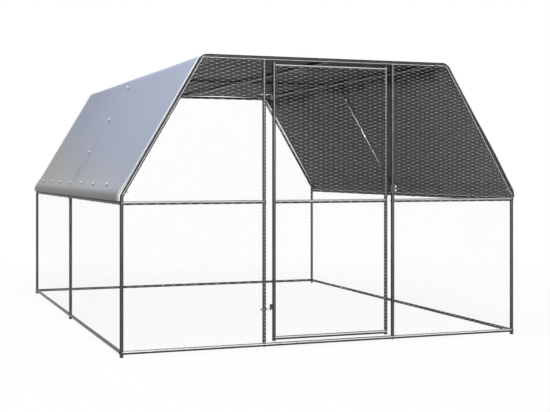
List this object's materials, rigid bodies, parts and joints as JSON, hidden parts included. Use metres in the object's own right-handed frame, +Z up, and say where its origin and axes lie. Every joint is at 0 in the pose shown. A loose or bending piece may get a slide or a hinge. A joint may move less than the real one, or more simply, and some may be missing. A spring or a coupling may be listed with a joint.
{
  "type": "walk-in chicken coop",
  "caption": "Walk-in chicken coop of bent steel tube with hexagonal wire netting, a hinged net door with a flap latch, and a cloth roof cover from eave to eave.",
  "frame": {"origin": "middle of the footprint on the ground", "axes": "+Z up, -Y out of the front with the door, +X to the right seen from the front"},
  "size_m": [3.009, 4.0133, 2.022],
  "materials": {
    "galvanised_tube": "satin",
    "zinc_hardware": "satin",
    "galvanised_wire": "satin",
    "cover_cloth": "matte",
    "eyelet_metal": "satin",
    "tie_cord": "matte"
  },
  "bodies": {
    "frame": {"cover_eyelets": "eyelet_metal", "cover_ties": "tie_cord", "frame_bolts": "zinc_hardware", "front_bottom_rail": "galvanised_tube", "front_bow": "galvanised_tube", "front_eave_rail_left": "galvanised_tube", "front_eave_rail_right": "galvanised_tube", "front_left_leg": "galvanised_tube", "front_left_net": "galvanised_wire", "front_right_leg": "galvanised_tube", "front_right_net": "galvanised_wire", "hinge_eye_bolts": "zinc_hardware", "hinge_nuts": "zinc_hardware", "latch_bolts": "zinc_hardware", "latch_collar": "zinc_hardware", "latch_nuts": "zinc_hardware", "latch_pin": "zinc_hardware", "left_bottom_rail_front": "galvanised_tube", "left_bottom_rail_rear": "galvanised_tube", "left_eave_rail_front": "galvanised_tube", "left_eave_rail_rear": "galvanised_tube", "left_jamb": "galvanised_tube", "left_net": "galvanised_wire", "left_roof_rail_front": "galvanised_tube", "left_roof_rail_rear": "galvanised_tube", "mid_bow": "galvanised_tube", "mid_left_leg": "galvanised_tube", "mid_right_leg": "galvanised_tube", "mid_studs": "zinc_hardware", "rear_bottom_rail": "galvanised_tube", "rear_bow": "galvanised_tube", "rear_left_leg": "galvanised_tube", "rear_net": "galvanised_wire", "rear_right_leg": "galvanised_tube", "ridge_roof_rail_front": "galvanised_tube", "ridge_roof_rail_rear": "galvanised_tube", "right_bottom_rail_front": "galvanised_tube", "right_bottom_rail_rear": "galvanised_tube", "right_eave_rail_front": "galvanised_tube", "right_eave_rail_rear": "galvanised_tube", "right_jamb": "galvanised_tube", "right_net": "galvanised_wire", "right_roof_rail_front": "galvanised_tube", "right_roof_rail_rear": "galvanised_tube", "roof_cover": "cover_cloth", "slope_bolts": "zinc_hardware", "slope_nuts": "zinc_hardware", "tube_plugs": "zinc_hardware"},
    "door": {"door_bottom_rail": "galvanised_tube", "door_left_stile": "galvanised_tube", "door_mid_rail": "galvanised_tube", "door_net": "galvanised_wire", "door_right_stile": "galvanised_tube", "door_top_rail": "galvanised_tube", "lower_hinge_lug": "galvanised_tube", "upper_hinge_lug": "galvanised_tube"},
    "latch": {"latch_flap": "zinc_hardware"}
  },
  "joints": [
    {"name": "door_hinge", "type": "hinge", "parent": "frame", "child": "door", "pos_m": [-0.4435, -1.9875, 0.275], "axis": [0, 0, -1], "range_deg": [0, 130]},
    {"name": "latch_turn", "type": "hinge", "parent": "frame", "child": "latch", "pos_m": [0.4715, -2.0052, 1.102], "axis": [0, 0, -1], "range_deg": [0, 180]}
  ]
}
